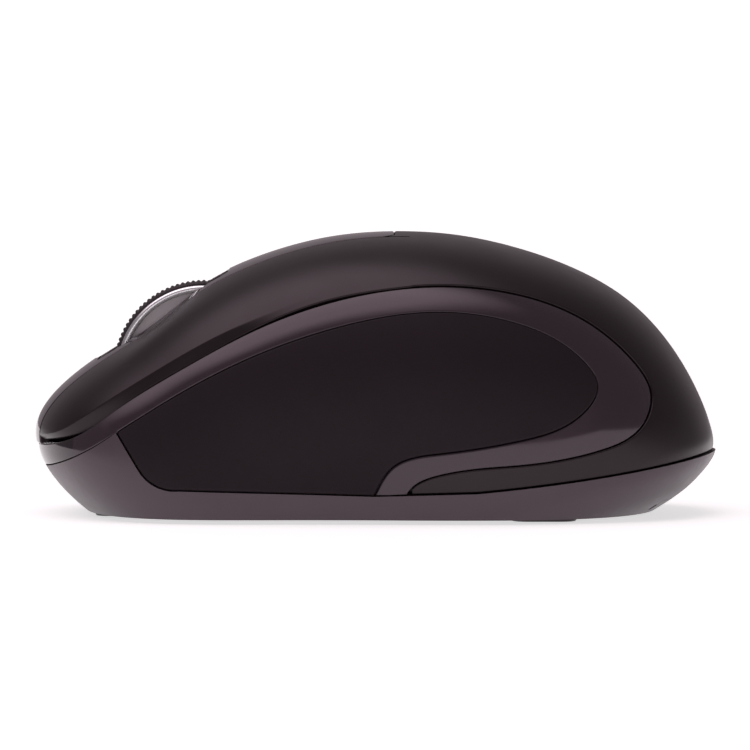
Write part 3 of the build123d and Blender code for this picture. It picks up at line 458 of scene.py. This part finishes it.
def cut_out(limits, crease):
    # the part of the grid inside every limit, with mesh lines where the surface will bend
    fields = [measure(GRID_POINT, GRID_NORMAL)[0] for measure, roll in limits]
    cuts = []
    for k, (measure, roll) in enumerate(limits):
        cuts += [(k, share * roll) for share in (ROLL_LINES if roll else ROLL_LINES[:1])]
    if crease:
        fields.append(seen_from_side(UNDER_CREASE, GRID_POINT, GRID_NORMAL)[0])
        cuts += [(len(limits), level) for level in CREASE_LINES]
    fields = np.stack(fields, 1)
    inside = fields[QUADS][:, :, :len(limits)].max(1).min(1) > 0
    polys, used = renumbered(QUADS[inside].tolist())
    params = [tuple(p) for p in GRID[used]]
    values = [fields[g] for g in used]
    for k, level in cuts:
        trim = level == 0.0 and k < len(limits)
        polys = split_at(polys, params, values, k, level, trim)
    polys, used = renumbered(polys)
    return polys, np.array([params[v] for v in used]), np.array([values[v] for v in used])


def renumbered(polys):
    used = sorted({v for poly in polys for v in poly})
    index = {v: i for i, v in enumerate(used)}
    return [[index[v] for v in poly] for poly in polys], used


def skin(name, limits, body, slot, node, material=None, crease=False, recess=None, crowns=(),
         wall=WALL):
    # A limit is (measure, roll radius).  A crown is (limit number, height, width): the surface
    # eases down by the height towards that edge, over the width.
    polys, params, values = cut_out(limits, crease)
    point = form(params[:, 0], params[:, 1])
    normal = form_normal(params[:, 0], params[:, 1]) * (-1 if FLIP else 1)
    smooth = normal.copy()
    sink = np.zeros(len(point))
    if recess:
        sink += recess(point)
        smooth = unit(smooth + lean_of(recess, point, normal))
    if crease:
        extra, lean = skirt_sink(point, normal)
        sink += extra
        smooth = unit(smooth + lean)
    edge_way = np.zeros_like(point)
    nearest = np.full(len(point), 1e9)
    rolled = np.zeros(len(point))
    for k, (measure, roll) in enumerate(limits):
        inward = measure(point, normal)[1]
        outward = -inward / np.maximum(np.linalg.norm(inward, axis=1), 1e-9)[:, None]
        closer = np.abs(values[:, k]) < nearest
        nearest = np.where(closer, np.abs(values[:, k]), nearest)
        edge_way[closer] = outward[closer]
        for limit, height, width in crowns:
            if limit == k:
                share = np.clip(1 - values[:, k] / width, 0, 1)
                sink += height * share**2
                smooth = unit(smooth + outward * (2 * height / width * share)[:, None])
        if roll > 0:
            lean = np.clip((roll - values[:, k]) / roll, 0, 1)
            drop = roll - np.sqrt(np.maximum(roll**2 - (lean * roll) ** 2, 0))
            rolled = np.maximum(rolled, drop)
            cosine = np.sqrt(np.maximum(1 - lean**2, 0))
            smooth = smooth * cosine[:, None] + outward * lean[:, None]
            smooth /= np.maximum(np.linalg.norm(smooth, axis=1), 1e-9)[:, None]
    sink += rolled
    outer = point - normal * sink[:, None]
    inner = point - normal * np.maximum(wall, sink + THINNEST)[:, None]

    # outer surface, inner surface and the walls between them, with a normal for each corner
    count = len(point)
    edges = dict.fromkeys(
        (v, poly[(i + 1) % len(poly)]) for poly in polys for i, v in enumerate(poly))
    open_edges = [(a, b) for a, b in edges if (b, a) not in edges]
    faces = [list(poly) for poly in polys]
    corners = [smooth[v] for poly in polys for v in poly]
    for poly in polys:
        faces.append([v + count for v in poly[::-1]])
        corners += [-normal[v] for v in poly[::-1]]
    for a, b in open_edges:
        faces.append([b, a, a + count, b + count])
        corners += [edge_way[b], edge_way[a], edge_way[a], edge_way[b]]
    mesh = add_piece(name, np.concatenate([outer, inner]), faces, material or MATERIALS[slot],
                     body, slot, node)
    mesh.normals_split_custom_set([tuple(n) for n in corners])


# ---------------------------------------------------------------- materials
WARM = (1.0, 0.86, 0.93)
PLAIN = (1.0, 1.0, 1.0)


def noise(tree, scale, detail=2.0, rough=0.5):
    where = tree.nodes.new("ShaderNodeTexCoord")
    node = tree.nodes.new("ShaderNodeTexNoise")
    node.inputs["Scale"].default_value = scale
    node.inputs["Detail"].default_value = detail
    node.inputs["Roughness"].default_value = rough
    tree.links.new(where.outputs["Object"], node.inputs["Vector"])
    return node.outputs["Fac"]


def ramp(tree, source, low, high, from_low=0.3, from_high=0.7, kind="LINEAR"):
    node = tree.nodes.new("ShaderNodeMapRange")
    node.interpolation_type = kind
    node.inputs["From Min"].default_value = from_low
    node.inputs["From Max"].default_value = from_high
    node.inputs["To Min"].default_value = low
    node.inputs["To Max"].default_value = high
    tree.links.new(source, node.inputs["Value"])
    return node.outputs["Result"]


def calculate(tree, operation, source, other=None, kind="ShaderNodeMath"):
    # other is a constant or a second socket
    node = tree.nodes.new(kind)
    node.operation = operation
    tree.links.new(source, node.inputs[0])
    if isinstance(other, bpy.types.NodeSocket):
        tree.links.new(other, node.inputs[1])
    elif other is not None:
        node.inputs[1].default_value = other
    return node


def plastic(name, colour, rough, spread, grain, bump, depth=0.00002, vary=0.12, coat=0.0,
            metal=0.0, ior=1.5, transmission=0.0, tint=WARM):
    # moulded finish: slow colour patches, smears in the gloss, and a fine moulded grain
    material = bpy.data.materials.new(name)
    material.use_nodes = True
    tree = material.node_tree
    bsdf = tree.nodes["Principled BSDF"]
    bsdf.inputs["Metallic"].default_value = metal
    bsdf.inputs["IOR"].default_value = ior
    bsdf.inputs["Transmission Weight"].default_value = transmission
    bsdf.inputs["Specular Tint"].default_value = (*tint, 1)
    if coat:
        bsdf.inputs["Coat Weight"].default_value = coat
        bsdf.inputs["Coat Roughness"].default_value = 0.04
    mix = tree.nodes.new("ShaderNodeMix")
    mix.data_type = "RGBA"
    mix.inputs["A"].default_value = (*[c * (1 - vary) for c in colour], 1)
    mix.inputs["B"].default_value = (*[c * (1 + vary) for c in colour], 1)
    tree.links.new(noise(tree, 60.0, 3.0), mix.inputs["Factor"])
    tree.links.new(mix.outputs["Result"], bsdf.inputs["Base Color"])
    smears = ramp(tree, noise(tree, 140.0, 4.0, 0.6), rough - spread, rough + spread)
    tree.links.new(smears, bsdf.inputs["Roughness"])
    if bump:
        node = tree.nodes.new("ShaderNodeBump")
        node.inputs["Strength"].default_value = bump
        node.inputs["Distance"].default_value = depth
        tree.links.new(noise(tree, grain), node.inputs["Height"])
        tree.links.new(node.outputs["Normal"], bsdf.inputs["Normal"])
    return material


# material slot: name, colour, roughness, its spread, grain scale, grain strength, the rest
FINISHES = {
    "soft_black": ("soft_touch", (0.0085, 0.0052, 0.0060), 0.31, 0.03, 5200, 0.10,
                   {"ior": 1.43}),
    "gloss_black": ("console_gloss", (0.013, 0.0092, 0.0115), 0.08, 0.02, 900, 0.02,
                    {"vary": 0.05, "ior": 1.62}),
    "band_gloss": ("band_gloss", (0.030, 0.021, 0.027), 0.13, 0.03, 900, 0.02,
                   {"vary": 0.05, "ior": 1.58}),
    "grip_rubber": ("grip_rubber", (0.0140, 0.0095, 0.0122), 0.60, 0.05, 3600, 0.35,
                    {"depth": 0.00003, "ior": 1.26}),
    "base_satin": ("base_satin", (0.072, 0.056, 0.065), 0.36, 0.04, 4200, 0.12,
                   {"ior": 1.45}),
    "wheel_grey": ("wheel_grey", (0.62, 0.58, 0.60), 0.38, 0.04, 3800, 0.10,
                   {"tint": PLAIN}),
    "tyre_rubber": ("tyre_rubber", (0.016, 0.014, 0.015), 0.50, 0.06, 5200, 0.25, {}),
    "steel": ("steel", (0.60, 0.60, 0.61), 0.28, 0.06, 2600, 0.08,
              {"metal": 1.0, "tint": PLAIN}),
    "spring_steel": ("spring_steel", (0.68, 0.67, 0.66), 0.22, 0.05, 2600, 0.05,
                     {"metal": 1.0, "tint": PLAIN}),
    "board_green": ("board_green", (0.010, 0.085, 0.035), 0.32, 0.05, 1500, 0.10,
                    {"vary": 0.2, "tint": PLAIN}),
    "chip_black": ("chip_black", (0.018, 0.018, 0.018), 0.55, 0.04, 6000, 0.2,
                   {"tint": PLAIN}),
    "switch_black": ("switch_black", (0.020, 0.020, 0.022), 0.42, 0.05, 4200, 0.12,
                     {"tint": PLAIN}),
    "switch_white": ("switch_white", (0.72, 0.70, 0.65), 0.38, 0.05, 4200, 0.10,
                     {"tint": PLAIN}),
    "frame_plastic": ("frame_plastic", (0.030, 0.030, 0.032), 0.46, 0.05, 3600, 0.20,
                      {"tint": PLAIN}),
    "cell_jacket": ("cell_jacket", (0.025, 0.055, 0.13), 0.24, 0.04, 1200, 0.05,
                    {"metal": 0.3, "tint": PLAIN}),
    "can_silver": ("can_silver", (0.62, 0.62, 0.63), 0.24, 0.05, 2600, 0.06,
                   {"metal": 1.0, "tint": PLAIN}),
    "clear_lens": ("clear_lens", (0.90, 0.93, 0.94), 0.06, 0.02, 900, 0.0,
                   {"transmission": 0.9, "tint": PLAIN}),
    "smoke_window": ("smoke_window", (0.030, 0.024, 0.026), 0.10, 0.03, 900, 0.02,
                     {"coat": 0.4}),
    "led_body": ("led_body", (0.65, 0.10, 0.08), 0.12, 0.03, 900, 0.0,
                 {"transmission": 0.5, "tint": PLAIN}),
    "ptfe_pad": ("glide_pad", (0.022, 0.020, 0.021), 0.30, 0.06, 2200, 0.20, {"vary": 0.2}),
}
MATERIALS = {slot: plastic(*entry[:-1], **entry[-1]) for slot, entry in FINISHES.items()}
BEZEL = plastic("bezel_satin", (0.0090, 0.0066, 0.0074), 0.45, 0.03, 4200, 0.10, ior=1.30)
PLATING = plastic("rim_plating", (0.93, 0.93, 0.95), 0.2, 0.03, 2600, 0.03, metal=1.0,
                  tint=PLAIN)


def plate_rim(material):
    # bright plating outside a radius from the wheel's axis, satin plastic inside it
    silver, metal, rough, blur = (0.97, 0.97, 0.97, 1), 0.35, 0.2, 0.00008
    tree = material.node_tree
    bsdf = tree.nodes["Principled BSDF"]
    where = tree.nodes.new("ShaderNodeTexCoord")
    centre, flat = (0.0, WHEEL_Y * MM, WHEEL_Z * MM), (0.0, 1.0, 1.0)
    vector = "ShaderNodeVectorMath"
    shift = calculate(tree, "SUBTRACT", where.outputs["Object"], centre, vector)
    spoke = calculate(tree, "MULTIPLY", shift.outputs["Vector"], flat, vector)
    radius = calculate(tree, "LENGTH", spoke.outputs["Vector"], kind=vector).outputs["Value"]
    plated = ramp(tree, radius, 0.0, 1.0, PLATED_FROM * MM - blur, PLATED_FROM * MM + blur)
    metallic = calculate(tree, "MULTIPLY", plated, metal)
    tree.links.new(metallic.outputs["Value"], bsdf.inputs["Metallic"])
    for socket, value, kind in (("Base Color", silver, "RGBA"), ("Roughness", rough, "FLOAT")):
        old = bsdf.inputs[socket].links[0].from_socket
        mix = tree.nodes.new("ShaderNodeMix")
        mix.data_type = kind
        mix.inputs["B"].default_value = value
        tree.links.new(plated, mix.inputs["Factor"])
        tree.links.new(old, mix.inputs["A"])
        tree.links.new(mix.outputs["Result"], bsdf.inputs[socket])


plate_rim(MATERIALS["wheel_grey"])
slot_of = {part["node"]: part["material_slot"] for part in frame["record"]["subparts"]}
for node_name, node in frame["nodes"].items():
    finish = MATERIALS[slot_of[node_name]]
    if len(node.material_slots) == 0:
        node.data.materials.append(finish)
    for holder in node.material_slots:
        holder.material = finish


# ---------------------------------------------------------------- scroll wheel
def revolve(section_at, turns):
    # closed ring round the wheel's axis; section_at(angle) gives (x, radius), left side first
    points, faces = [], []
    for j in range(turns):
        angle = 2 * math.pi * j / turns
        section = section_at(angle)
        for x, r in section:
            points.append((x, WHEEL_Y + r * math.cos(angle), WHEEL_Z + r * math.sin(angle)))
    n = len(section)
    for j in range(turns):
        k = (j + 1) % turns
        for i in range(n):
            m = (i + 1) % n
            faces.append((k * n + i, k * n + m, j * n + m, j * n + i))
    return points, faces


# half of the tyre's section from the left: x, radius, share of the notch depth
SHOULDER = [(-TYRE_HALF, 11.45, 0.0), (-TYRE_HALF, 12.22, 0.0), (-2.52, 12.36, 0.1),
            (-2.36, 12.50, 0.4)]


def tyre_section(angle):
    # shallow ridges that die out at rounded shoulders
    tread = [-TREAD_HALF + 2 * TREAD_HALF * i / 8 for i in range(9)]
    section = SHOULDER + [(x, TREAD_RADIUS - TREAD_CROWN * x * x, 1.0) for x in tread]
    section += [(-x, r, share) for x, r, share in SHOULDER[::-1]]
    wave = math.tanh(RIDGE_EDGE * math.cos(angle * RIDGES)) / math.tanh(RIDGE_EDGE)
    notch = NOTCH * (0.5 - 0.5 * wave)
    return [(x, r - notch * share) for x, r, share in section]


def bead_section(x):
    turns = [2 * math.pi * i / BEAD_STEPS for i in range(BEAD_STEPS)]
    return [(x - BEAD_RADIUS * math.cos(t), BEAD_AT + BEAD_RADIUS * math.sin(t)) for t in turns]


add_piece("tyre_ridges", *revolve(tyre_section, RIDGES * STEPS_PER_RIDGE),
          MATERIALS["tyre_rubber"], "wheel", "tyre_rubber", "wheel_tyre")

# half-round plated bead on each cheek of the wheel, just inside the tyre
bead_points, bead_faces = [], []
for bead_x in (-BEAD_X, BEAD_X):
    section = bead_section(bead_x)
    points, faces = revolve(lambda angle: section, BEAD_TURNS)
    bead_faces += [[v + len(bead_points) for v in face] for face in faces]
    bead_points += points
add_piece("rim_beads", bead_points, bead_faces, PLATING, "wheel", "wheel_grey")


# ---------------------------------------------------------------- outer skins
half_gap = SEAM / 2
left = (plane(X, 0.0, -1), 0.0)
right = (plane(X, 0.0, 1), 0.0)
ahead = (plane(Y, HINGE_Y, 1), 0.0)
rear = (plane(Y, NOSE_CUT, -1), 0.0)
front = (plane(Y, NOSE_CUT, 1), 0.0)
above_floor = (plane(Z, BEZEL_FLOOR, 1), 0.0)
hinge = (behind_hinge, 0.0)
off_band = (side_view(IN_BAND, -1, half_gap), ROLL)
in_band = (side_view(IN_BAND, 1, half_gap), ROLL)
off_grip = (side_view(IN_GRIP, -1, half_gap), BY_GRIP_ROLL)
in_grip = (side_view(IN_GRIP, 1, half_gap), GRIP_ROLL)
off_base = (side_view(IN_BASE, -1, half_gap), ROLL)
grip_foot = (off_base[0], GRIP_FOOT_ROLL)
off_room = (side_view(IN_ROOM, -1, 0.0), ROLL)
off_strip = (plan_view(IN_STRIP, -1, half_gap), ROLL)
in_strip = (plan_view(IN_STRIP, 1, half_gap), ROLL)
off_parting = (plan_view(IN_PARTING, -1, KEY_SEAM), ROLL)
off_slot = (plan_view(IN_SLOT, -1, 0.0), SLOT_ROLL)
in_ring = (plan_view(IN_RING, 1, 0.0), RING_ROLL)
off_opening = (plan_view(IN_OPENING, -1, 0.0), RING_ROLL)
off_window = (plan_view(IN_WINDOW, -1, 0.0), WINDOW_ROLL)
PALM_CROWN = (0.45, 7.0)      # height and width
BAND_CROWN = (0.24, 3.4)

skin("palm_cover_skin", [off_band, off_base, hinge, off_strip], "case", "soft_black",
     "top_cover", crowns=[(1, *PALM_CROWN)])
for hand, side in (("left", left), ("right", right)):
    skin(f"{hand}_button_skin", [off_room, ahead, off_parting, side], f"{hand}_key",
         "soft_black", f"{hand}_button", crease=True, recess=finger_dish, wall=KEY_WALL)
    skin(f"{hand}_band_skin", [in_band, off_grip, off_base, rear, side], "case", "band_gloss",
         f"{hand}_band", crowns=[(0, *BAND_CROWN), (1, *BAND_CROWN)])
    skin(f"{hand}_grip_skin", [in_grip, grip_foot, side], "case", "grip_rubber",
         f"{hand}_grip")
skin("nose_trim_skin", [in_band, off_base, front], "case", "gloss_black", "nose_trim",
     crowns=[(0, *BAND_CROWN)])
skin("console_skin", [in_strip, off_band, off_slot, off_window], "case", "gloss_black",
     "centre_console", recess=finger_dish)
skin("bezel_skin", [in_ring, off_opening, above_floor], "case", "gloss_black",
     "slot_bezel", material=BEZEL, recess=bezel_dish)


# ---------------------------------------------------------------- floor, light and camera
FLOOR_REACH = 6.0             # metres each way
FLOOR_LEVEL = -0.00002        # just under the glide pads
FLOOR_GLOW = 0.62
floor_mesh = bpy.data.meshes.new("floor")
floor_mesh.from_pydata(
    [(sx * FLOOR_REACH, sy * FLOOR_REACH, FLOOR_LEVEL)
     for sx, sy in ((-1, -1), (1, -1), (1, 1), (-1, 1))],
    [], [(0, 1, 2, 3)])
floor = bpy.data.objects.new("floor", floor_mesh)
bpy.context.scene.collection.objects.link(floor)
floor_white = plastic("floor_white", (0.88, 0.88, 0.88), 0.55, 0.02, 40, 0.0, vary=0.0,
                      tint=PLAIN)
tree = floor_white.node_tree
floor_bsdf = tree.nodes["Principled BSDF"]
floor_bsdf.inputs["Emission Color"].default_value = (1, 1, 1, 1)
floor_bsdf.inputs["Emission Strength"].default_value = FLOOR_GLOW
# Seen from below the floor is clear, so the underside can be looked at.
facing = tree.nodes.new("ShaderNodeNewGeometry")
clear = tree.nodes.new("ShaderNodeBsdfTransparent")
either = tree.nodes.new("ShaderNodeMixShader")
tree.links.new(facing.outputs["Backfacing"], either.inputs["Fac"])
tree.links.new(floor_bsdf.outputs["BSDF"], either.inputs[1])
tree.links.new(clear.outputs["BSDF"], either.inputs[2])
tree.links.new(either.outputs["Shader"], tree.nodes["Material Output"].inputs["Surface"])
floor_mesh.materials.append(floor_white)

# Soft light: a broad lobe from above and slightly ahead, a dim fill, and a little more from
# the two sides.  The camera itself sees plain white behind the object.
FILL_TINT = (1.0, 0.87, 0.93, 1)
LOBE_FROM = (-0.05, 0.27, 0.96)
LOBE_EDGE, LOBE_CORE = 0.74, 0.95
FILL, LOBE = 0.17, 1.65
FLANK_EDGE, FLANK_CORE, FLANK = 0.55, 0.95, 0.16
BACKDROP = 1.05
world = bpy.data.worlds.new("studio")
bpy.context.scene.world = world
world.use_nodes = True
tree = world.node_tree
tree.nodes.clear()
out = tree.nodes.new("ShaderNodeOutputWorld")
fill = tree.nodes.new("ShaderNodeBackground")
fill.inputs["Color"].default_value = FILL_TINT
towards = tree.nodes.new("ShaderNodeTexCoord").outputs["Generated"]
aim = calculate(tree, "DOT_PRODUCT", towards, LOBE_FROM, "ShaderNodeVectorMath")
dome = ramp(tree, aim.outputs["Value"], FILL, LOBE, LOBE_EDGE, LOBE_CORE, "SMOOTHSTEP")
axes = tree.nodes.new("ShaderNodeSeparateXYZ")
tree.links.new(towards, axes.inputs["Vector"])
sideways = calculate(tree, "ABSOLUTE", axes.outputs["X"]).outputs["Value"]
flank = ramp(tree, sideways, 0.0, FLANK, FLANK_EDGE, FLANK_CORE, "SMOOTHSTEP")
total = calculate(tree, "ADD", dome, flank)
tree.links.new(total.outputs["Value"], fill.inputs["Strength"])
seen = tree.nodes.new("ShaderNodeBackground")
seen.inputs["Color"].default_value = (1, 1, 1, 1)
seen.inputs["Strength"].default_value = BACKDROP
path = tree.nodes.new("ShaderNodeLightPath")
pick = tree.nodes.new("ShaderNodeMixShader")
tree.links.new(path.outputs["Is Camera Ray"], pick.inputs["Fac"])
tree.links.new(fill.outputs["Background"], pick.inputs[1])
tree.links.new(seen.outputs["Background"], pick.inputs[2])
tree.links.new(pick.outputs["Shader"], out.inputs["Surface"])

# The camera looks along +X at the mouse's left side, slightly from above.
LOOK_AT = (0.0, 0.0001, 0.0192)
DISTANCE = 1.3
ELEVATION = math.radians(3.0)
FRAME_WIDTH = 0.1048          # metres across the view at the mouse
SENSOR = 36.0
camera_data = bpy.data.cameras.new("camera")
camera_data.sensor_width = SENSOR
camera_data.lens = SENSOR * DISTANCE / FRAME_WIDTH
camera_data.clip_start = 0.05
camera_data.clip_end = 50.0
camera = bpy.data.objects.new("camera", camera_data)
camera.location = (
    LOOK_AT[0] - DISTANCE * math.cos(ELEVATION),
    LOOK_AT[1],
    LOOK_AT[2] + DISTANCE * math.sin(ELEVATION),
)
camera.rotation_euler = (math.pi / 2 - ELEVATION, 0.0, -math.pi / 2)
bpy.context.scene.collection.objects.link(camera)
bpy.context.scene.camera = camera
bpy.context.scene.view_settings.view_transform = "Standard"
